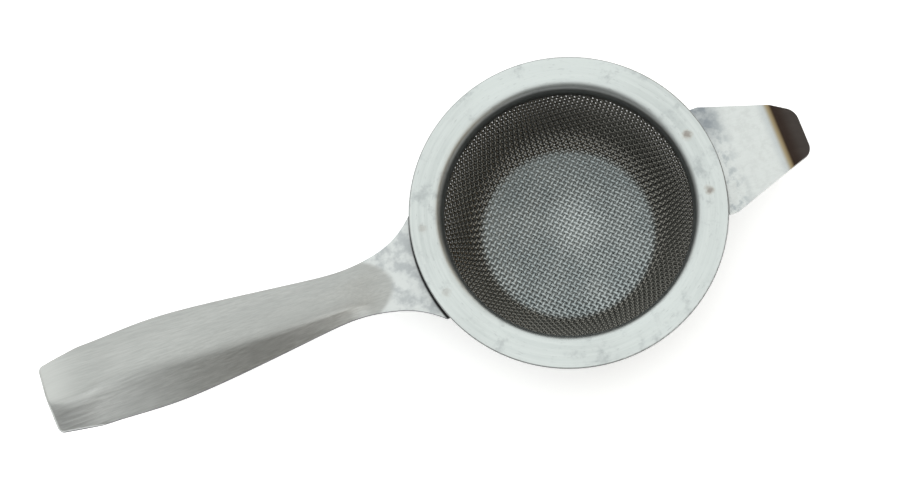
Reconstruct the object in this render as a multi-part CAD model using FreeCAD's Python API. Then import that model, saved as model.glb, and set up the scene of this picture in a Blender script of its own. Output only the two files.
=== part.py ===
import FreeCAD, Part
import math
import os

# Hand-held tea strainer in stainless steel, in millimetres.
# The ring's axis is +Z, the rest tab points along +X and the handle along -X.
# The origin is the centre of the basket's flat underside.
# "reach" is a distance from the ring's axis, measured along the handle or the tab.

# ---- driving dimensions ----
rim_top = 18.5                # height of the rim above the basket's underside
rim_radius = 35.0
rim_sheet = 0.8
rim_edge_round = 0.25
throat_radius = 27.35         # inside of the throat
throat_depth = 4.4            # from the rim's top face to the throat's lower end
roll_radius = 2.7             # the rim's inner edge rolls over into the throat

mesh_thickness = 0.6          # two crossed wires
mesh_lap = 1.8                # height of the mesh edge trapped outside the throat
floor_radius = 15.4           # flat part of the basket's floor
floor_corner = 9.5            # inside radius between floor and wall

collar_sheet = 0.5
collar_height = 3.2
collar_edge_round = 0.15

sheet = 1.0                   # sheet of the tab and of the tang
seat_drop = 3.9               # from the rim's top face to the top of the tab and the tang
tongue_inner_radius = 30.15   # the welded tongues are concentric with the ring
tongue_half_width = 12.3
step_top_radius = 33.6        # a tongue steps down to the seat between these two radii
step_bottom_radius = 34.6
step_end_radius = 35.3
step_bend_radius = 0.3

tab_shoulder_reach = 35.2
tab_bend_reach = 50.2
tab_end_reach = 55.9
tab_end_drop = 4.1
tab_root_half_width = 12.6
tab_bend_half_width = 7.5
tab_end_half_width = 5.1
tab_corner_round = 1.3
tab_end_round = 3.0
tab_bend_radius = 1.0

grip_sheet = 0.8
grip_seam_wall = 0.7          # upright wall between the seam and the crown
grip_lower_wall = 0.3         # upright wall below the seam
grip_hollow_reach = 51.0
lower_shell_reach = 50.0
grip_end_reach = 120.0
grip_end_slope = 0.17         # how fast the sides still close in at the free end
grip_corner_round = 1.4
grip_edge_round = 0.65
ridge_height = 0.94           # ridge height, as a share of the crown height
ridge_share_at_neck = 0.50    # ridge line, as a share of the half width
ridge_share_at_belly = 0.16
ridge_neck_reach = 55.0       # between these two the ridges draw together
ridge_belly_reach = 96.0

weld_radius = 0.85
weld_dimple = 0.08
weld_depth = 1.3              # from the rim's top face
tab_weld_circle = 31.1
tab_weld_angle = 12.4
handle_weld_circle = 32.2
handle_weld_angle = 13.7

# Stations along the handle: reach, half width, height of the seam from the rim's top face,
# crown height above the seam's upright wall, depth of the lower shell below it.
handle_stations = [
    (30.0, 15.00, -4.60, 0.02, 0.02),
    (34.0, 11.45, -4.60, 0.02, 0.02),
    (39.0, 8.12, -4.60, 0.02, 0.02),
    (44.5, 6.40, -4.00, 0.12, 0.02),
    (51.0, 5.65, -3.15, 1.20, 0.70),
    (60.0, 6.30, -2.35, 2.30, 1.80),
    (72.0, 7.75, -1.30, 3.00, 2.60),
    (84.0, 9.05, 0.00, 3.40, 3.00),
    (96.0, 9.65, 1.25, 3.60, 3.20),
    (108.0, 9.12, 2.30, 3.50, 3.10),
    (grip_end_reach, 7.55, 3.05, 3.10, 2.70),
]

# ---- derived values ----
flange_bottom = rim_top - rim_sheet
seat_top = rim_top - seat_drop
throat_outer = throat_radius + rim_sheet
throat_bottom = rim_top - throat_depth
lap_bottom = throat_bottom - 0.2
lap_top = lap_bottom + mesh_lap
collar_inner = throat_outer + mesh_thickness
collar_outer = collar_inner + collar_sheet


def vec(x, y, z):
    return FreeCAD.Vector(x, y, z)


def line(start, end):
    return Part.makeLine(start, end)


def arc(start, middle, end):
    return Part.Arc(start, middle, end).toShape()


def turned(edges):
    """Solid of revolution about +Z from a closed outline in the XZ plane."""
    face = Part.Face(Part.Wire(edges))
    return face.revolve(vec(0, 0, 0), vec(0, 0, 1), 360)


def rounded_path(points, radii):
    """Edges along a path in one plane, with an arc of the given radius at each inner point."""
    edges = []
    start = points[0]
    for index, radius in enumerate(radii, start=1):
        corner = points[index]
        arriving = (corner - points[index - 1]).normalize()
        leaving = (points[index + 1] - corner).normalize()
        half_turn = arriving.getAngle(leaving) / 2
        reach = radius * math.tan(half_turn)
        inward = (leaving - arriving).normalize()
        centre = corner + inward * (radius / math.cos(half_turn))
        arc_start = corner - arriving * reach
        arc_end = corner + leaving * reach
        edges.append(line(start, arc_start))
        edges.append(arc(arc_start, centre - inward * radius, arc_end))
        start = arc_end
    edges.append(line(start, points[-1]))
    return edges


def below(points, thickness):
    """The same path in the XZ plane, moved to its lower side by a sheet's thickness."""
    normals = []
    for first, second in zip(points, points[1:]):
        along = (second - first).normalize()
        normals.append(vec(along.z, 0, -along.x))
    moved = [points[0] + normals[0] * thickness]
    for corner, first, second in zip(points[1:-1], normals, normals[1:]):
        middle = (first + second).normalize()
        moved.append(corner + middle * (thickness / middle.dot(first)))
    moved.append(points[-1] + normals[-1] * thickness)
    return moved


def bent_sheet(points, bend_radius, thickness):
    """Outline of a bent sheet whose top face follows a path of points with rising X."""
    top_radii = []
    bottom_radii = []
    for before, corner, after in zip(points, points[1:], points[2:]):
        turns_down = (corner - before).cross(after - corner).y > 0
        top_radii.append(bend_radius + thickness if turns_down else bend_radius)
        bottom_radii.append(bend_radius if turns_down else bend_radius + thickness)
    bottom = below(points, thickness)
    edges = rounded_path(points, top_radii)
    edges.append(line(points[-1], bottom[-1]))
    edges += rounded_path(bottom[::-1], bottom_radii[::-1])
    edges.append(line(bottom[0], points[0]))
    return edges


def round_hoops(solid, radius, fillet):
    """Rounds the circular edges that a turned solid has at one radius."""
    hoops = [edge for edge in solid.Edges if is_hoop(edge, radius)]
    return solid.makeFillet(fillet, hoops)


def is_hoop(edge, radius):
    return isinstance(edge.Curve, Part.Circle) and abs(edge.Curve.Radius - radius) < 0.001


def weld_spots(circle, half_angle, direction):
    """Two weld spots on a circle, either side of the tab (+1) or the handle (-1)."""
    spots = []
    for side in (-1, 1):
        turn = math.radians(side * half_angle)
        centre = vec(direction * circle * math.cos(turn), circle * math.sin(turn), 0)
        base = centre + vec(0, 0, rim_top - weld_depth)
        spots.append(Part.makeCylinder(weld_radius, weld_depth - weld_dimple, base))
    return Part.makeCompound(spots)


def weld_holes(circle, half_angle, direction):
    """The room that the weld spots take out of the two sheets, with the dimple above."""
    spots = weld_spots(circle, half_angle, direction)
    dimples = spots.copy()
    dimples.translate(vec(0, 0, weld_dimple))
    return spots.fuse(dimples)


def tangent_point(outside, centre, radius):
    """Point where a line from an outside point touches the lower right of a circle in XZ."""
    gap = outside - centre
    angle = math.atan2(gap.z, gap.x) - math.acos(radius / gap.Length)
    return centre + vec(radius * math.cos(angle), 0, radius * math.sin(angle)), angle


def basket_side(neck_radius, corner_radius, floor_height):
    """Edges of one face of the mesh, from the top of its lap down to the basket's axis."""
    centre = vec(floor_radius, 0, mesh_thickness + floor_corner)
    neck_bottom = vec(neck_radius, 0, lap_bottom)
    touch, angle = tangent_point(neck_bottom, centre, corner_radius)
    floor_end = vec(floor_radius, 0, floor_height)
    halfway = (angle - math.pi / 2) / 2
    bend_middle = centre + vec(math.cos(halfway), 0, math.sin(halfway)) * corner_radius
    return [
        line(vec(neck_radius, 0, lap_top), neck_bottom),
        line(neck_bottom, touch),
        arc(touch, bend_middle, floor_end),
        line(floor_end, vec(0, 0, floor_height)),
    ]


def ridge_share(reach):
    """How far the ridge lies from the middle, as a share of the half width."""
    along = (reach - ridge_neck_reach) / (ridge_belly_reach - ridge_neck_reach)
    along = min(max(along, 0), 1)
    return ridge_share_at_neck + along * (ridge_share_at_belly - ridge_share_at_neck)


def crown_edges(reach, half_width, base, height):
    """Crowned upper face of a section: flat flanks, soft ridges and a slightly arched top."""
    seam = vec(-reach, half_width, base)
    ridge = vec(-reach, half_width * ridge_share(reach), base + height * ridge_height)
    peak = vec(-reach, 0, base + height)
    flank_end = ridge + (seam - ridge) * 0.2
    top_start = ridge + (peak - ridge) * 0.45

    def mirror(point):
        return vec(point.x, -point.y, point.z)

    def bend(*poles):
        curve = Part.BezierCurve()
        curve.setPoles(list(poles))
        return curve.toShape()

    return [
        line(seam, flank_end),
        bend(flank_end, ridge, top_start),
        bend(top_start, peak, mirror(top_start)),
        bend(mirror(top_start), mirror(ridge), mirror(flank_end)),
        line(mirror(flank_end), mirror(seam)),
    ]


def grip_section(reach, half_width, seam, wall, crown, lower_wall, depth):
    """Closed section across the handle: crown, upright walls either side and lower shell."""
    top = seam + wall
    bottom = seam - lower_wall
    edges = [line(vec(-reach, half_width, bottom), vec(-reach, half_width, top))]
    edges += crown_edges(reach, half_width, top, crown)
    edges.append(line(vec(-reach, -half_width, top), vec(-reach, -half_width, bottom)))
    edges += crown_edges(reach, half_width, bottom, -depth)[::-1]
    return Part.Wire(edges)


def round_grip_end(solid):
    """Rounds the two corners of the handle's free end in plan, then the crown's edge there."""
    half_width = handle_stations[-1][1]
    flared = half_width + grip_end_slope * grip_end_reach
    corners = [
        vec(0, flared, 0),
        vec(-grip_end_reach, half_width, 0),
        vec(-grip_end_reach, -half_width, 0),
        vec(0, -flared, 0),
    ]
    edges = rounded_path(corners, [grip_corner_round, grip_corner_round])
    edges.append(line(corners[-1], corners[0]))
    plan = Part.Face(Part.Wire(edges)).extrude(vec(0, 0, 2 * rim_top))
    rounded = solid.common(plan).Solids[0]
    seam = rim_top + handle_stations[-1][2]
    end_edges = []
    for edge in rounded.Edges:
        box = edge.BoundBox
        at_end = box.XMax < grip_corner_round - grip_end_reach
        upright = max(box.XLength, box.YLength) < 0.01
        if at_end and not upright and abs(edge.CenterOfMass.z - seam) > grip_edge_round:
            end_edges.append(edge)
    return rounded.makeFillet(grip_edge_round, end_edges)


def hollow_handle():
    """Both halves of the handle in one piece, with the closed hollow inside the grip."""
    outside = []
    hollow = []
    for reach, half_width, seam_drop, crown, depth in handle_stations:
        seam = rim_top + seam_drop
        outside.append(
            grip_section(reach, half_width, seam, grip_seam_wall, crown, grip_lower_wall, depth)
        )
        if reach >= grip_hollow_reach:
            reach = min(reach, grip_end_reach - grip_sheet)
            top_wall = grip_seam_wall + crown - grip_sheet
            bottom_depth = grip_lower_wall + depth - grip_sheet
            width = half_width - grip_sheet
            hollow.append(grip_section(reach, width, seam, 0.1, top_wall, 0.02, bottom_depth))
    body = round_grip_end(Part.makeLoft(outside, True, False))
    return body.cut(Part.makeLoft(hollow, True, False))


def below_seam():
    """The space below the seam surface, from the lower shell's front edge to the free end."""
    points = []
    for reach, _, seam_drop, _, _ in handle_stations:
        points.append(vec(-reach, -rim_radius, rim_top + seam_drop))
    seam = Part.BSplineCurve()
    seam.interpolate(points)
    start, end = points[0], points[-1]
    edges = [
        seam.toShape(),
        line(end, vec(end.x, end.y, 0)),
        line(vec(end.x, end.y, 0), vec(start.x, start.y, 0)),
        line(vec(start.x, start.y, 0), start),
    ]
    space = Part.Face(Part.Wire(edges)).extrude(vec(0, 2 * rim_radius, 0))
    front = Part.makeBox(lower_shell_reach, 2 * rim_radius, 2 * rim_top)
    front.translate(vec(-lower_shell_reach, -rim_radius, 0))
    return space.cut(front)


# ---- sub-parts ----
def make_rim_ring():
    """Pressed ring: flat rim, rolled inner edge and short throat."""
    path = [
        vec(throat_radius, 0, throat_bottom),
        vec(throat_radius, 0, rim_top),
        vec(rim_radius, 0, rim_top),
    ]
    ring = turned(bent_sheet(path, roll_radius - rim_sheet, rim_sheet))
    ring = round_hoops(ring, rim_radius, rim_edge_round)
    ring = ring.cut(weld_holes(tab_weld_circle, tab_weld_angle, 1))
    return ring.cut(weld_holes(handle_weld_circle, handle_weld_angle, -1))


def make_mesh_basket():
    """Woven basket as a thin shell: lap round the throat, sloping wall and flat floor."""
    inside = basket_side(throat_outer, floor_corner, mesh_thickness)
    outside = basket_side(collar_inner, floor_corner + mesh_thickness, 0)
    lap_edge = line(vec(throat_outer, 0, lap_top), vec(collar_inner, 0, lap_top))
    axis_edge = line(vec(0, 0, 0), vec(0, 0, mesh_thickness))
    return turned([lap_edge] + outside + [axis_edge] + inside)


def make_mesh_collar():
    """Clamp band round the mesh's lap, reaching a little below the throat."""
    base = vec(0, 0, lap_top - collar_height)
    band = Part.makeCylinder(collar_outer, collar_height, base)
    band = band.cut(Part.makeCylinder(collar_inner, collar_height, base))
    return round_hoops(band, collar_outer, collar_edge_round)


def make_tongue(direction):
    """Welded tongue under the rim, stepped down to the level of the tab or the tang."""
    path = [
        vec(tongue_inner_radius, 0, flange_bottom),
        vec(step_top_radius, 0, flange_bottom),
        vec(step_bottom_radius, 0, seat_top),
        vec(step_end_radius, 0, seat_top),
    ]
    ring = turned(bent_sheet(path, step_bend_radius, sheet))
    room = Part.makeBox(step_end_radius, 2 * tongue_half_width, 2 * rim_top)
    room.translate(vec((direction - 1) * step_end_radius / 2, -tongue_half_width, 0))
    return ring.common(room)


def make_rest_tab():
    """Tapered tab: welded tongue, flat seat and an end bent down."""
    path = [
        vec(0, 0, seat_top),
        vec(tab_bend_reach, 0, seat_top),
        vec(tab_end_reach, 0, seat_top - tab_end_drop),
    ]
    profile = Part.Face(Part.Wire(bent_sheet(path, tab_bend_radius, sheet)))
    profile.translate(vec(0, -rim_radius, 0))
    bent_plate = profile.extrude(vec(0, 2 * rim_radius, 0))
    half_outline = [
        vec(0, tab_root_half_width, 0),
        vec(tab_shoulder_reach, tab_root_half_width, 0),
        vec(tab_bend_reach, tab_bend_half_width, 0),
        vec(tab_end_reach, tab_end_half_width, 0),
    ]
    outline = half_outline + [vec(p.x, -p.y, 0) for p in reversed(half_outline)]
    rounds = [tab_corner_round, tab_corner_round, tab_end_round]
    edges = rounded_path(outline, rounds + rounds[::-1])
    edges.append(line(outline[-1], outline[0]))
    plan = Part.Face(Part.Wire(edges)).extrude(vec(0, 0, rim_top))
    plate = bent_plate.common(plan).cut(Part.makeCylinder(step_end_radius, rim_top))
    tab = plate.fuse(make_tongue(1)).removeSplitter()
    return tab.cut(weld_spots(tab_weld_circle, tab_weld_angle, 1))


def make_handle_upper_shell():
    """Top half of the grip and the flared tang, pressed from one sheet."""
    body = hollow_handle().cut(below_seam())
    body = body.cut(Part.makeCylinder(step_end_radius, 2 * rim_top))
    shell = body.fuse(make_tongue(-1)).removeSplitter()
    return shell.cut(weld_spots(handle_weld_circle, handle_weld_angle, -1))


def make_handle_lower_shell():
    """Lower half of the grip, which closes the hollow along the seam."""
    return hollow_handle().common(below_seam())


def make_tab_spot_welds():
    return weld_spots(tab_weld_circle, tab_weld_angle, 1)


def make_handle_spot_welds():
    return weld_spots(handle_weld_circle, handle_weld_angle, -1)


nodes = {
    "rim_ring": make_rim_ring,
    "mesh_basket": make_mesh_basket,
    "mesh_collar": make_mesh_collar,
    "rest_tab": make_rest_tab,
    "handle_upper_shell": make_handle_upper_shell,
    "handle_lower_shell": make_handle_lower_shell,
    "tab_spot_welds": make_tab_spot_welds,
    "handle_spot_welds": make_handle_spot_welds,
}

os.makedirs("parts", exist_ok=True)
for name, make in nodes.items():
    shape = make()
    shape.exportStep("parts/" + name + ".step")
    print(name, "valid", shape.isValid(), "solids", len(shape.Solids), "mm3", round(shape.Volume, 1))
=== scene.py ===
import math

import bpy
import numpy as np
from mathutils import Matrix, Vector


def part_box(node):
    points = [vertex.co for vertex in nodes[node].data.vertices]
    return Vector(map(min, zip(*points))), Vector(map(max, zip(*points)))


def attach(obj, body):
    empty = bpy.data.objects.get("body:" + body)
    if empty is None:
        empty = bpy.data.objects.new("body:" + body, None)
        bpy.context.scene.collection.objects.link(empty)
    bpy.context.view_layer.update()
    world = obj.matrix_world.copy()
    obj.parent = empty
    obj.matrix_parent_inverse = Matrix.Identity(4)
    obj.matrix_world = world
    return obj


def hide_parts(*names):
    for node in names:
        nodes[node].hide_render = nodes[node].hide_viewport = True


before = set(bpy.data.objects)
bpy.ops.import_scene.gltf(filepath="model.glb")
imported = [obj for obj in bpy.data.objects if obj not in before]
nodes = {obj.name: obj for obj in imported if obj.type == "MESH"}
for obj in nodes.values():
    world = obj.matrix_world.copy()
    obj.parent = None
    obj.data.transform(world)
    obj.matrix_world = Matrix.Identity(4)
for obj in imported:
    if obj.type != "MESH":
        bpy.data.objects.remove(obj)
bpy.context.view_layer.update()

MM = 0.001

# ---- the woven basket ----
WIRE_RADIUS = 0.165 * MM           # half the thickness of a wire, which is pressed flat
WIRE_HALF_WIDTH = 0.34 * MM
WARP_STEP = 0.95 * MM              # spacing of the weft wires, measured along a warp wire
WEFT_STEP = 1.01 * MM              # spacing of the warp wires, measured along a weft wire
WEAVE_TURN = math.radians(42)      # direction of the warp wires in plan, from +X
FLOOR_RADIUS = 16.6 * MM           # the basket's floor, which is a very shallow dish
FLOOR_EDGE_SLOPE = math.radians(7)
CORNER_RADIUS = 8.6 * MM           # bend between floor and wall, at the middle of the weave
NECK_BEND = 0.8 * MM               # bend from the sloping wall to the upright lap
LAP_DROP = 0.2 * MM                # the lap starts this far below the throat
LAP_SHOWN = 1.3 * MM               # the wires end this far up inside the collar
SAMPLES_PER_STEP = 4               # rings of a wire's tube between two crossings
TUBE_SIDES = 8

WELD_RADIUS = 0.85 * MM

# ---- tones that stand in for light ----
# They are matched to the main camera's view and not to the object. 0 turns a strength off.
PALE_FLOOR_CENTRE = (-0.6 * MM, -1.5 * MM)  # off the ring's axis, towards the main camera
PALE_FLOOR_RADIUS = 18.2 * MM
WALL_SHADE_STRENGTH = 0.86
PALE_PATCH_CENTRE = (2.0 * MM, 1.0 * MM)
PALE_PATCH_STRENGTH = 0.6
THROAT_SHADE_STRENGTH = 0.88
FLANK_NECK_STRENGTH = 0.7
FLANK_END_STRENGTH = 0.9
GRIP_END_STRENGTH = 0.45

# ---- camera ----
CAMERA_AZIMUTH = math.radians(-20.95)
CAMERA_ELEVATION = math.radians(76.97)
CAMERA_DISTANCE = 580 * MM         # from the middle of the rim's top face
CAMERA_LENS = 106.24
RIM_RIGHT_SLOPE = 0.045077         # from the camera's axis to the middle of the rim's top face
RIM_ABOVE_SLOPE = 0.015426

# ---- surroundings ----
OVERHEAD = (1.26, 1.29, 1.27)
VIEWER_SIDE = (0.09, 0.088, 0.084)
LEFT_SIDE = (0.12, 0.115, 0.11)
WARM_STRIP = (0.60, 0.42, 0.22)    # between the overhead light and the dark right side
RIGHT_SIDE = (0.06, 0.05, 0.042)
FAR_HAZE = (0.86, 0.86, 0.86)
NEAR_HAZE = (0.76, 0.77, 0.76)

# ---- floor ----
FLOOR_HALF_SIZE = 4.0
FLOOR_HEIGHT = -0.3 * MM
FLOOR_GLOW = 0.50
CARD_HEIGHT = -0.15 * MM
CARD_RADIUS = 31 * MM
CARD_SOLID_RADIUS = 24 * MM
CARD_STRENGTH = 0.93
CARD_SHIFT = 2.2 * MM              # the card lies a little towards the far side
CARD_PALE_RADIUS = 17 * MM         # painted light: it is paler under the basket's floor than under its wall

ring_low, ring_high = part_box("rim_ring")
_, mesh_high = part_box("mesh_basket")
_, tab_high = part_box("rest_tab")
grip_low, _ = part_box("handle_upper_shell")
RIM_TOP = ring_high.z
RIM_RADIUS = ring_high.x


# ---- woven wires ----
def basket_meridian():
    """Height, radius and slope of the weave's middle surface against the distance from its pole."""
    floor_height = 2 * WIRE_RADIUS
    neck_radius = mesh_high.x - 0.3 * MM
    neck_height = ring_low.z - LAP_DROP
    dish_rise = FLOOR_RADIUS * math.tan(FLOOR_EDGE_SLOPE / 2)
    centre_r = FLOOR_RADIUS - CORNER_RADIUS * math.sin(FLOOR_EDGE_SLOPE)
    centre_z = floor_height + dish_rise + CORNER_RADIUS * math.cos(FLOOR_EDGE_SLOPE)
    gap_r = neck_radius - centre_r
    gap_z = neck_height - centre_z
    reach = math.hypot(gap_r, gap_z)
    slope = math.atan2(gap_z, gap_r) - math.acos(CORNER_RADIUS / reach) + math.pi / 2
    wall = math.sqrt(reach**2 - CORNER_RADIUS**2)
    neck_turn = math.pi / 2 - slope
    wall -= NECK_BEND * math.tan(neck_turn / 2)
    bend_start = FLOOR_RADIUS
    bend_end = bend_start + CORNER_RADIUS * (slope - FLOOR_EDGE_SLOPE)
    wall_end = bend_end + wall
    neck_end = wall_end + NECK_BEND * neck_turn
    top = neck_end + LAP_SHOWN
    distance = np.linspace(0, top + 4 * MM, 8000)
    angle = np.interp(
        distance,
        [0, bend_start, bend_end, wall_end, neck_end],
        [0, FLOOR_EDGE_SLOPE, slope, slope, math.pi / 2],
    )
    step = distance[1]
    radius = np.concatenate([[0], np.cumsum(np.cos(angle))[:-1]]) * step
    height = np.concatenate([[0], np.cumsum(np.sin(angle))[:-1]]) * step + floor_height
    return distance, radius, height, angle, top


DISTANCE, RADIUS, HEIGHT, SLOPE, WEAVE_TOP = basket_meridian()


def on_basket(distance, turn):
    """Point, direction up the wall and direction round the wall, at a place on the weave."""
    radius = np.interp(distance, DISTANCE, RADIUS)
    height = np.interp(distance, DISTANCE, HEIGHT)
    slope = np.interp(distance, DISTANCE, SLOPE)
    cos_turn, sin_turn = np.cos(turn), np.sin(turn)
    point = np.array([radius * cos_turn, radius * sin_turn, height])
    up = np.array([np.cos(slope) * cos_turn, np.cos(slope) * sin_turn, np.sin(slope)])
    around = np.array([-radius * sin_turn, radius * cos_turn, 0.0])
    normal = np.array([-np.sin(slope) * cos_turn, -np.sin(slope) * sin_turn, np.cos(slope)])
    return point, up, around, normal


def crossing(before_warp, before_weft, guess):
    """Place one warp step from one crossing and one weft step from another, on the basket."""
    distance, turn = guess
    for _ in range(12):
        point, up, around, _ = on_basket(distance, turn)
        to_warp = point - before_warp
        to_weft = point - before_weft
        miss = np.array([to_warp @ to_warp - WARP_STEP**2, to_weft @ to_weft - WEFT_STEP**2])
        slopes = 2 * np.array([[to_warp @ up, to_warp @ around], [to_weft @ up, to_weft @ around]])
        change = np.linalg.solve(slopes, miss)
        distance -= change[0]
        turn -= change[1]
        if abs(change[0]) < 1e-8:
            break
    return distance, turn


def quarter_net():
    """Crossings of one quarter of the weave. The wires don't stretch, so the net only shears."""
    count = int(WEAVE_TOP / min(WARP_STEP, WEFT_STEP)) + 3
    places = np.full((count, count, 2), np.nan)
    points = np.full((count, count, 3), np.nan)
    normals = np.full((count, count, 3), np.nan)
    for i in range(count):
        for j in range(count):
            if i == 0 or j == 0:
                places[i, j] = (i * WARP_STEP + j * WEFT_STEP, math.pi / 2 if i == 0 else 0)
            else:
                left, below = places[i - 1, j], places[i, j - 1]
                if not (left[0] <= WEAVE_TOP or below[0] <= WEAVE_TOP):
                    continue
                corner = points[i - 1, j] + points[i, j - 1] - points[i - 1, j - 1]
                guess = (left[0] + below[0] - places[i - 1, j - 1, 0], math.atan2(corner[1], corner[0]))
                places[i, j] = crossing(points[i - 1, j], points[i, j - 1], guess)
            points[i, j], _, _, normals[i, j] = on_basket(*places[i, j])
    return places[:, :, 0], points, normals


def wire_path(distances, points, normals, lift):
    """Centre line and surface normals of one wire, cut where the weave ends."""
    last = int(np.argmax(distances > WEAVE_TOP))
    cut = (WEAVE_TOP - distances[last - 1]) / (distances[last] - distances[last - 1])
    end = last - 1 + cut
    full = np.concatenate([points[last:0:-1] * [-1, 1, 1], points[: last + 1]])
    full_normals = np.concatenate([normals[last:0:-1] * [-1, 1, 1], normals[: last + 1]])
    steps = np.arange(-int(end * SAMPLES_PER_STEP), int(end * SAMPLES_PER_STEP) + 1) / SAMPLES_PER_STEP
    steps = np.concatenate([[-end], steps, [end]])
    index = np.clip(np.floor(steps).astype(int) + last, 0, 2 * last - 1)
    part = (steps + last - index)[:, None]

    def smooth(values):
        before = values[np.maximum(index - 1, 0)]
        first = values[index]
        second = values[index + 1]
        after = values[np.minimum(index + 2, 2 * last)]
        return 0.5 * (
            2 * first
            + (second - before) * part
            + (2 * before - 5 * first + 4 * second - after) * part**2
            + (3 * first - before - 3 * second + after) * part**3
        )

    centre = smooth(full)
    normal = smooth(full_normals)
    normal /= np.linalg.norm(normal, axis=1)[:, None]
    crimp = lift * WIRE_RADIUS * np.cos(math.pi * steps)[:, None]
    return centre + crimp * normal, normal


def add_tube(centre, normal, verts, faces):
    """Adds a closed tube along a centre line to the lists of vertices and faces."""
    along = np.gradient(centre, axis=0)
    along /= np.linalg.norm(along, axis=1)[:, None]
    side = np.cross(along, normal)
    side /= np.linalg.norm(side, axis=1)[:, None]
    up = np.cross(side, along)
    turns = np.arange(TUBE_SIDES) * 2 * math.pi / TUBE_SIDES
    ring = WIRE_HALF_WIDTH * np.cos(turns)[None, :, None] * side[:, None, :]
    ring = ring + WIRE_RADIUS * np.sin(turns)[None, :, None] * up[:, None, :]
    start = len(verts)
    verts.extend((centre[:, None, :] + ring).reshape(-1, 3).tolist())
    rings = len(centre)
    for k in range(rings - 1):
        first = start + k * TUBE_SIDES
        for side_index in range(TUBE_SIDES):
            following = (side_index + 1) % TUBE_SIDES
            second = first + TUBE_SIDES
            faces.append((first + side_index, second + side_index, second + following, first + following))
    faces.append(tuple(range(start, start + TUBE_SIDES)))
    end = start + (rings - 1) * TUBE_SIDES
    faces.append(tuple(reversed(range(end, end + TUBE_SIDES))))


def wire_piece(name, wires, material):
    """One mesh of many wires. A wire is (centre line, normals) in the weave's own axes."""
    verts, faces = [], []
    for centre, normal in wires:
        add_tube(centre, normal, verts, faces)
    mesh = bpy.data.meshes.new(name)
    mesh.from_pydata(verts, [], faces)
    mesh.transform(Matrix.Rotation(WEAVE_TURN, 4, "Z"))
    mesh.polygons.foreach_set("use_smooth", [True] * len(mesh.polygons))
    mesh.update()
    piece = bpy.data.objects.new(name, mesh)
    bpy.context.scene.collection.objects.link(piece)
    piece.data.materials.append(material)
    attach(piece, "root")
    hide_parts("mesh_basket")
    return piece


def weave_basket(material):
    """The plain weave: each wire passes over and under the wires that it crosses."""
    distances, points, normals = quarter_net()
    swap = [1, 0, 2]
    for side, half in ((1, "left"), (-1, "right")):
        warps, wefts = [], []
        for k in range(0 if side > 0 else 1, len(distances)):
            over = 1 if k % 2 == 0 else -1
            if distances[0, k] < WEAVE_TOP:
                centre, normal = wire_path(distances[:, k], points[:, k], normals[:, k], over)
                warps.append((centre * [1, side, 1], normal * [1, side, 1]))
            if distances[k, 0] < WEAVE_TOP:
                centre, normal = wire_path(
                    distances[k, :], points[k, :][:, swap], normals[k, :][:, swap], -over
                )
                wefts.append((centre[:, swap] * [side, 1, 1], normal[:, swap] * [side, 1, 1]))
        wire_piece("warp_wires_" + half, warps, material)
        wire_piece("weft_wires_" + half, wefts, material)


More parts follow.
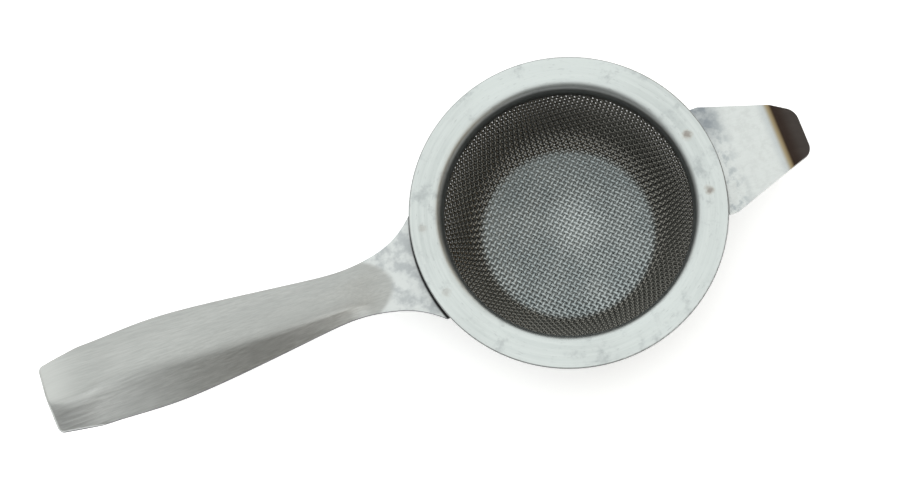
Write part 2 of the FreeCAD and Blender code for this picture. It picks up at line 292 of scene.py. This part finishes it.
# ---- node material helpers ----
class Nodes:
    """A material's node tree, with short calls for the nodes used here."""

    def __init__(self, tree):
        self.tree = tree

    def add(self, kind, **settings):
        node = self.tree.nodes.new(kind)
        for key, value in settings.items():
            setattr(node, key, value)
        return node

    def link(self, output, node, socket):
        self.tree.links.new(output, node.inputs[socket])

    def math(self, operation, first, second=None, third=None, clamp=False):
        node = self.add("ShaderNodeMath", operation=operation, use_clamp=clamp)
        for index, value in enumerate((first, second, third)):
            if value is None:
                continue
            if isinstance(value, (int, float)):
                node.inputs[index].default_value = value
            else:
                self.link(value, node, index)
        return node.outputs[0]

    def combine(self, x, y, z):
        node = self.add("ShaderNodeCombineXYZ")
        for index, value in enumerate((x, y, z)):
            if isinstance(value, (int, float)):
                node.inputs[index].default_value = value
            else:
                self.link(value, node, index)
        return node.outputs[0]

    def noise(self, vector, scale, detail=3.0, roughness=0.5):
        node = self.add("ShaderNodeTexNoise")
        self.link(vector, node, "Vector")
        node.inputs["Scale"].default_value = scale
        node.inputs["Detail"].default_value = detail
        node.inputs["Roughness"].default_value = roughness
        return node.outputs["Fac"]

    def ramp(self, value, low, high, from_value=0.0, to_value=1.0):
        node = self.add("ShaderNodeMapRange", interpolation_type="SMOOTHSTEP")
        self.link(value, node, "Value")
        node.inputs["From Min"].default_value = low
        node.inputs["From Max"].default_value = high
        node.inputs["To Min"].default_value = from_value
        node.inputs["To Max"].default_value = to_value
        return node.outputs["Result"]

    def mix(self, share, first, second):
        node = self.add("ShaderNodeMix", data_type="RGBA")
        if isinstance(share, (int, float)):
            node.inputs["Factor"].default_value = share
        else:
            self.link(share, node, "Factor")
        for socket, value in (("A", first), ("B", second)):
            target = [s for s in node.inputs if s.name == socket and s.type == "RGBA"][0]
            if isinstance(value, tuple):
                target.default_value = (*value, 1.0)
            else:
                self.tree.links.new(value, target)
        return [s for s in node.outputs if s.type == "RGBA"][0]

    def position(self):
        """The surface point in metres, as a vector and as its three parts."""
        place = self.add("ShaderNodeTexCoord").outputs["Object"]
        split = self.add("ShaderNodeSeparateXYZ")
        self.link(place, split, "Vector")
        return place, split.outputs[0], split.outputs[1], split.outputs[2]

    def distance(self, x, y, middle_x, middle_y):
        """Distance in plan from a given point."""
        off_x = self.math("SUBTRACT", x, middle_x)
        off_y = self.math("SUBTRACT", y, middle_y)
        squares = self.math("ADD", self.math("MULTIPLY", off_x, off_x), self.math("MULTIPLY", off_y, off_y))
        return self.math("SQRT", squares)

    def stretch(self, x, y, z, scale_x, scale_y, scale_z):
        """A vector whose three parts are scaled, for noise that is drawn out in one direction."""
        parts = zip((x, y, z), (scale_x, scale_y, scale_z))
        return self.combine(*[self.math("MULTIPLY", part, scale) for part, scale in parts])

    def polar(self):
        """Distance from the ring's axis, turn round it and height."""
        _, x, y, z = self.position()
        radius = self.distance(x, y, 0.0, 0.0)
        return radius, self.math("ARCTAN2", y, x), z


def metal(name, roughness):
    """A new steel material and its nodes."""
    material = bpy.data.materials.new(name)
    material.use_nodes = True
    tree = material.node_tree
    shader = tree.nodes["Principled BSDF"]
    shader.inputs["Metallic"].default_value = 1.0
    shader.inputs["Roughness"].default_value = roughness
    return material, Nodes(tree), shader


def bump(n, shader, height, strength, distance):
    node = n.add("ShaderNodeBump")
    n.link(height, node, "Height")
    node.inputs["Strength"].default_value = strength
    node.inputs["Distance"].default_value = distance
    n.link(node.outputs["Normal"], shader, "Normal")


def paint(name, material):
    node = nodes[name]
    node.data.materials.clear()
    node.data.materials.append(material)


# ---- materials ----
def shade_under_rim(n, tone):
    """Painted shade: a dark line where the tab and the tang run in under the rim."""
    radius, _, _ = n.polar()
    line = n.ramp(radius, RIM_RADIUS + 0.1 * MM, RIM_RADIUS + 0.55 * MM, 0.97, 0.0)
    return n.mix(line, tone, (0.02, 0.02, 0.02))


def spot_middle(node):
    """Middle of the weld spot of a node that lies at positive Y."""
    low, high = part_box(node)
    return (high.x + low.x) / 2, high.y - WELD_RADIUS


def away_from_spots(n, node):
    """Distance in plan from the nearer of a node's two weld spots, made uneven by noise."""
    middle_x, middle_y = spot_middle(node)
    place, x, y, _ = n.position()
    away = n.distance(x, n.math("ABSOLUTE", y), middle_x, middle_y)
    uneven = n.math("SUBTRACT", n.noise(place, 900.0, 4.0, 0.65), 0.5)
    return n.math("ADD", away, n.math("MULTIPLY", uneven, 1.8 * MM))


def heat_stain(n, tone, node, depth):
    """Brownish-grey stain over a pair of weld spots, fading out into the steel round them."""
    away = away_from_spots(n, node)
    tone = n.mix(n.ramp(away, 1.5 * MM, 0.7 * MM, 0.0, 0.5 * depth), tone, (0.40, 0.37, 0.33))
    return n.mix(n.ramp(away, 1.05 * MM, 0.2 * MM, 0.0, 0.85 * depth), tone, (0.27, 0.245, 0.225))


def rim_steel():
    """Turned steel with scratches round the ring, smudges and weld stains."""
    material, n, shader = metal("rim_steel", 0.4)
    place, _, _, _ = n.position()
    radius, turn, height = n.polar()
    scratches = n.noise(n.stretch(radius, turn, height, 1400.0, 1.3, 900.0), 1.0, 4.0, 0.6)
    dashes = n.noise(n.stretch(radius, turn, height, 2600.0, 14.0, 1.0), 1.0, 3.0, 0.6)
    broad = n.noise(place, 45.0, 3.0, 0.5)
    smudge = n.noise(place, 190.0, 6.0, 0.68)
    grain = n.noise(place, 1600.0, 2.0, 0.5)
    tone = n.mix(n.ramp(scratches, 0.3, 0.7), (0.49, 0.52, 0.512), (0.585, 0.615, 0.605))
    tone = n.mix(n.ramp(broad, 0.35, 0.7, 0.0, 0.55), tone, (0.62, 0.655, 0.645))
    tone = n.mix(n.ramp(smudge, 0.53, 0.72, 0.0, 0.75), tone, (0.38, 0.405, 0.41))
    tone = n.mix(n.ramp(dashes, 0.58, 0.74, 0.0, 0.6), tone, (0.38, 0.40, 0.40))
    tone = heat_stain(n, tone, "tab_spot_welds", 1.0)
    tone = heat_stain(n, tone, "handle_spot_welds", 0.35)
    # painted dark reflection: the outer edge is darker than the face
    dark_edge_reflection = n.ramp(radius, RIM_RADIUS - 0.30 * MM, RIM_RADIUS - 0.08 * MM, 0.0, 0.75)
    tone = n.mix(dark_edge_reflection, tone, (0.20, 0.20, 0.20))
    # painted shade inside the throat
    throat = n.ramp(height, RIM_TOP - 0.25 * MM, RIM_TOP - 1.3 * MM, 0.0, THROAT_SHADE_STRENGTH)
    tone = n.mix(throat, tone, (0.09, 0.09, 0.087))
    n.link(tone, shader, "Base Color")
    rough = n.math("ADD", n.ramp(scratches, 0.3, 0.7, 0.33, 0.42), n.ramp(smudge, 0.45, 0.7, 0.0, 0.06))
    n.link(rough, shader, "Roughness")
    relief = n.math("ADD", n.math("ADD", scratches, dashes), n.math("MULTIPLY", grain, 0.4))
    bump(n, shader, relief, 0.3, 0.00003)
    return material


def tab_steel():
    """Mottled steel, stained by the rim, with a painted reflection over the bend and the end and painted
    shade under the rim.
    """
    material, n, shader = metal("tab_steel", 0.4)
    place, x, y, z = n.position()
    streaks = n.noise(n.stretch(x, y, z, 120.0, 1500.0, 1.0), 1.0, 4.0, 0.6)
    mottle = n.noise(place, 320.0, 5.0, 0.65)
    grain = n.noise(place, 700.0, 5.0, 0.7)
    near_rim = n.ramp(x, RIM_RADIUS + 0.5 * MM, RIM_RADIUS + 6 * MM, 1.0, 0.0)
    stain = n.math("MULTIPLY", n.ramp(mottle, 0.46, 0.62), near_rim)
    tone = n.mix(n.ramp(streaks, 0.3, 0.7), (0.57, 0.59, 0.58), (0.61, 0.63, 0.62))
    tone = n.mix(n.ramp(grain, 0.42, 0.66, 0.0, 0.5), tone, (0.50, 0.515, 0.505))
    tone = n.mix(n.math("MULTIPLY", stain, 0.9), tone, (0.34, 0.37, 0.385))
    corner = n.math("MULTIPLY", near_rim, n.ramp(y, 1 * MM, 9 * MM))
    corner_stain = n.math("MULTIPLY", corner, n.ramp(mottle, 0.3, 0.6, 0.55, 1.0))
    tone = n.mix(corner_stain, tone, (0.24, 0.26, 0.28))
    # painted shade where the tab runs in under the rim
    tone = shade_under_rim(n, tone)
    bend_x = tab_high.x - 5.6 * MM
    # painted reflection of warm, dark surroundings: a blue-grey band, a golden band, then brown that pales
    # towards the end
    tone = n.mix(n.ramp(x, bend_x - 3.4 * MM, bend_x - 1.5 * MM, 0.0, 0.6), tone, (0.40, 0.425, 0.435))
    tone = n.mix(n.ramp(x, bend_x - 1.8 * MM, bend_x - 0.5 * MM), tone, (0.28, 0.222, 0.128))
    tone = n.mix(n.ramp(x, bend_x - 0.8 * MM, bend_x + 0.5 * MM), tone, (0.060, 0.042, 0.034))
    tone = n.mix(n.ramp(x, bend_x + 0.8 * MM, bend_x + 4 * MM), tone, (0.098, 0.086, 0.080))
    n.link(tone, shader, "Base Color")
    n.link(n.ramp(streaks, 0.3, 0.7, 0.32, 0.42), shader, "Roughness")
    bump(n, shader, n.math("ADD", n.math("MULTIPLY", streaks, 0.5), mottle), 0.16, 0.00003)
    return material


def brushed_tone(n, lines, broad):
    """Tone of the lengthwise brushed part of the grip."""
    tone = n.mix(n.ramp(lines, 0.25, 0.75), (0.362, 0.368, 0.358), (0.468, 0.475, 0.462))
    return n.mix(n.ramp(broad, 0.35, 0.7, 0.0, 0.35), tone, (0.33, 0.336, 0.328))


def paler_flank(n, tone, lines, x, normal_y):
    """Painted light: the flank that faces the main camera is paler at the neck and at the end, and the
    grip's last part is paler all round.
    """
    reach = n.math("MULTIPLY", x, -1.0)
    near_flank = n.ramp(normal_y, -0.14, -0.40)
    at_end = n.ramp(reach, 84 * MM, 118 * MM, 0.0, FLANK_END_STRENGTH)
    at_neck = n.ramp(reach, 76 * MM, 48 * MM, 0.0, FLANK_NECK_STRENGTH)
    pale_tone = n.mix(n.ramp(lines, 0.25, 0.75), (0.68, 0.70, 0.69), (0.88, 0.90, 0.89))
    tone = n.mix(n.math("MULTIPLY", near_flank, n.math("MAXIMUM", at_end, at_neck)), tone, pale_tone)
    pale_grip_end = n.ramp(reach, -grip_low.x - 11 * MM, -grip_low.x, 0.0, GRIP_END_STRENGTH)
    return n.mix(pale_grip_end, tone, (0.66, 0.67, 0.65))


def grip_steel():
    """Brushed grip that ends in a U towards the ring, and a mottled tang."""
    material, n, shader = metal("grip_steel", 0.4)
    place, x, y, z = n.position()
    lines = n.noise(n.stretch(x, y, z, 42.0, 2900.0, 2900.0), 1.0, 4.0, 0.65)
    broad = n.noise(n.stretch(x, y, z, 22.0, 320.0, 320.0), 1.0, 3.0, 0.5)
    smudge = n.noise(place, 260.0, 4.0, 0.6)
    bow = n.math("MULTIPLY", n.math("MULTIPLY", y, y), 130.0)
    edge = n.math("SUBTRACT", n.math("MULTIPLY", x, -1.0), bow)
    brushed = n.ramp(edge, 40.5 * MM, 42.5 * MM)
    tang_tone = n.mix(n.ramp(smudge, 0.40, 0.62, 0.0, 0.9), (0.60, 0.62, 0.615), (0.40, 0.42, 0.43))
    tone = n.mix(brushed, tang_tone, brushed_tone(n, lines, broad))
    facing = n.add("ShaderNodeSeparateXYZ")
    n.link(n.add("ShaderNodeNewGeometry").outputs["Normal"], facing, "Vector")
    tone = paler_flank(n, tone, lines, x, facing.outputs[1])
    # painted shade: upright faces, such as the wall along the seam, are dark
    upright = n.ramp(n.math("ABSOLUTE", facing.outputs[2]), 0.3, 0.6, 1.0, 0.0)
    tone = n.mix(upright, tone, (0.05, 0.05, 0.065))
    # painted shade where the tang runs in under the rim
    n.link(shade_under_rim(n, tone), shader, "Base Color")
    rough = n.math("ADD", n.ramp(lines, 0.25, 0.75, 0.36, 0.46), n.math("MULTIPLY", brushed, 0.02))
    n.link(rough, shader, "Roughness")
    depth = n.math("ADD", n.math("MULTIPLY", brushed, 0.8), 0.2)
    bump(n, shader, n.math("MULTIPLY", n.math("ADD", lines, broad), depth), 0.45, 0.00005)
    return material


def wire_steel():
    """Drawn wire, dull on the floor and glossier on the wall, with painted light that makes the floor pale
    and painted shade that makes the wall brown-grey.
    """
    material, n, shader = metal("wire_steel", 0.15)
    place, x, y, _ = n.position()
    drawn = n.noise(place, 900.0, 3.0, 0.6)
    patch = n.noise(place, 120.0, 3.0, 0.5)
    tone = n.mix(n.ramp(patch, 0.35, 0.65), (0.39, 0.43, 0.435), (0.47, 0.505, 0.505))
    tone = n.mix(n.ramp(drawn, 0.45, 0.7, 0.0, 0.4), tone, (0.33, 0.345, 0.34))
    # painted light: a paler patch in place of a reflection
    pale_patch = n.ramp(n.distance(x, y, *PALE_PATCH_CENTRE), 1 * MM, 9 * MM, PALE_PATCH_STRENGTH, 0.0)
    tone = n.mix(pale_patch, tone, (0.68, 0.72, 0.72))
    # painted light and shade: the floor is pale and the wall brown-grey, and the edge between them follows
    # a circle, not the basket's bend
    from_centre = n.distance(x, y, *PALE_FLOOR_CENTRE)
    wall = n.ramp(from_centre, PALE_FLOOR_RADIUS, PALE_FLOOR_RADIUS + 2 * MM)
    tone = n.mix(n.math("MULTIPLY", wall, WALL_SHADE_STRENGTH), tone, (0.125, 0.113, 0.094))
    n.link(tone, shader, "Base Color")
    dull = n.math("MULTIPLY", n.math("SUBTRACT", 1.0, wall), 0.34)
    n.link(n.math("ADD", n.ramp(drawn, 0.3, 0.7, 0.10, 0.18), dull), shader, "Roughness")
    bump(n, shader, drawn, 0.15, 0.00002)
    return material


# ---- surroundings ----
def studio():
    """Soft light: bright overhead, dark high on the viewer's side and to the right, pale low down."""
    world = bpy.data.worlds.new("studio")
    bpy.context.scene.world = world
    world.use_nodes = True
    n = Nodes(world.node_tree)
    background = world.node_tree.nodes["Background"]
    direction = n.add("ShaderNodeTexCoord").outputs["Generated"]

    def towards(vector):
        node = n.add("ShaderNodeVectorMath", operation="DOT_PRODUCT")
        n.link(direction, node, 0)
        node.inputs[1].default_value = vector
        return node.outputs["Value"]

    far_way = (-math.sin(CAMERA_AZIMUTH), math.cos(CAMERA_AZIMUTH), 0)
    right_way = (math.cos(CAMERA_AZIMUTH), math.sin(CAMERA_AZIMUTH), 0)
    far, right, up = towards(far_way), towards(right_way), towards((0, 0, 1))
    colour = n.mix(n.ramp(far, -0.55, -0.32), VIEWER_SIDE, OVERHEAD)
    colour = n.mix(n.ramp(right, -0.93, -0.80), LEFT_SIDE, colour)
    colour = n.mix(n.ramp(right, 0.58, 0.70), colour, WARM_STRIP)
    colour = n.mix(n.ramp(right, 0.68, 0.80), colour, RIGHT_SIDE)
    haze = n.math("MAXIMUM", n.ramp(far, 0.3, 0.6), n.ramp(right, -0.3, -0.6))
    low = n.math("MULTIPLY", haze, n.ramp(up, 0.16, 0.06))
    colour = n.mix(low, colour, FAR_HAZE)
    near_low = n.math("MULTIPLY", n.ramp(far, 0.1, -0.2), n.ramp(up, 0.46, 0.26))
    colour = n.mix(near_low, colour, NEAR_HAZE)
    n.link(colour, background, "Color")
    background.inputs["Strength"].default_value = 1.0


def pale_floor():
    half = FLOOR_HALF_SIZE
    corners = [(-half, -half), (half, -half), (half, half), (-half, half)]
    mesh = bpy.data.meshes.new("floor")
    mesh.from_pydata([(x, y, FLOOR_HEIGHT) for x, y in corners], [], [(0, 1, 2, 3)])
    floor = bpy.data.objects.new("floor", mesh)
    bpy.context.scene.collection.objects.link(floor)
    material = bpy.data.materials.new("floor_paper")
    material.use_nodes = True
    n = Nodes(material.node_tree)
    shader = material.node_tree.nodes["Principled BSDF"]
    fibres = n.noise(n.position()[0], 400.0, 2.0)
    n.link(n.mix(fibres, (0.93, 0.93, 0.93), (0.95, 0.95, 0.95)), shader, "Base Color")
    shader.inputs["Roughness"].default_value = 0.9
    shader.inputs["Emission Color"].default_value = (1, 1, 1, 1)
    shader.inputs["Emission Strength"].default_value = FLOOR_GLOW
    floor.data.materials.append(material)


def shade_card():
    """Painted shadow: a dark card with a soft edge under the basket, so that the gaps between the wires
    stay dark.
    """
    mesh = bpy.data.meshes.new("shade_card")
    sides = 96
    corners = [2 * math.pi * k / sides for k in range(sides)]
    verts = [(CARD_RADIUS * math.cos(a), CARD_RADIUS * math.sin(a), CARD_HEIGHT) for a in corners]
    middle = Vector((-math.sin(CAMERA_AZIMUTH), math.cos(CAMERA_AZIMUTH), 0)) * CARD_SHIFT
    mesh.from_pydata(verts, [], [tuple(range(sides))])
    card = bpy.data.objects.new("shade_card", mesh)
    bpy.context.scene.collection.objects.link(card)
    material = bpy.data.materials.new("painted_shadow_card")
    material.use_nodes = True
    n = Nodes(material.node_tree)
    shader = material.node_tree.nodes["Principled BSDF"]
    shader.inputs["Roughness"].default_value = 0.9
    card.location = middle
    radius = n.polar()[0]
    # painted light in the middle, painted shadow round it
    card_shadow = n.ramp(radius, CARD_PALE_RADIUS, CARD_PALE_RADIUS + 4 * MM)
    n.link(n.mix(card_shadow, (0.72, 0.74, 0.73), (0.03, 0.03, 0.028)), shader, "Base Color")
    n.link(n.ramp(radius, CARD_SOLID_RADIUS, CARD_RADIUS, CARD_STRENGTH, 0.0), shader, "Alpha")
    card.data.materials.append(material)


def photo_camera():
    """Camera at the viewing angle, turned so that the rim's middle lies right of and above its axis."""
    right = Vector((math.cos(CAMERA_AZIMUTH), math.sin(CAMERA_AZIMUTH), 0))
    level = math.cos(CAMERA_ELEVATION)
    back = Vector((right.y * level, -right.x * level, math.sin(CAMERA_ELEVATION)))
    up = back.cross(right)
    data = bpy.data.cameras.new("camera")
    data.lens = CAMERA_LENS
    data.sensor_width = 36.0
    data.clip_start, data.clip_end = 0.05, 5.0
    to_rim = Vector((RIM_RIGHT_SLOPE, RIM_ABOVE_SLOPE, -1)).normalized()
    lean = Vector((0, 0, -1)).rotation_difference(to_rim).to_matrix()
    base = Matrix((right, up, back)).transposed()
    camera = bpy.data.objects.new("camera", data)
    bpy.context.scene.collection.objects.link(camera)
    place = Vector((0, 0, RIM_TOP)) + back * CAMERA_DISTANCE
    camera.matrix_world = Matrix.Translation(place) @ (base @ lean.transposed()).to_4x4()
    bpy.context.scene.camera = camera


# ---- the object ----
for old in [o for o in bpy.data.objects if o.type in {"LIGHT", "CAMERA"}]:
    bpy.data.objects.remove(old)
bpy.context.scene.view_settings.view_transform = "Standard"

ring_material = rim_steel()
paint("rim_ring", ring_material)
paint("mesh_collar", ring_material)
paint("rest_tab", tab_steel())
grip_material = grip_steel()
paint("handle_upper_shell", grip_material)
paint("handle_lower_shell", grip_material)
paint("tab_spot_welds", ring_material)
paint("handle_spot_welds", ring_material)
weave_basket(wire_steel())

studio()
pale_floor()
shade_card()
photo_camera()
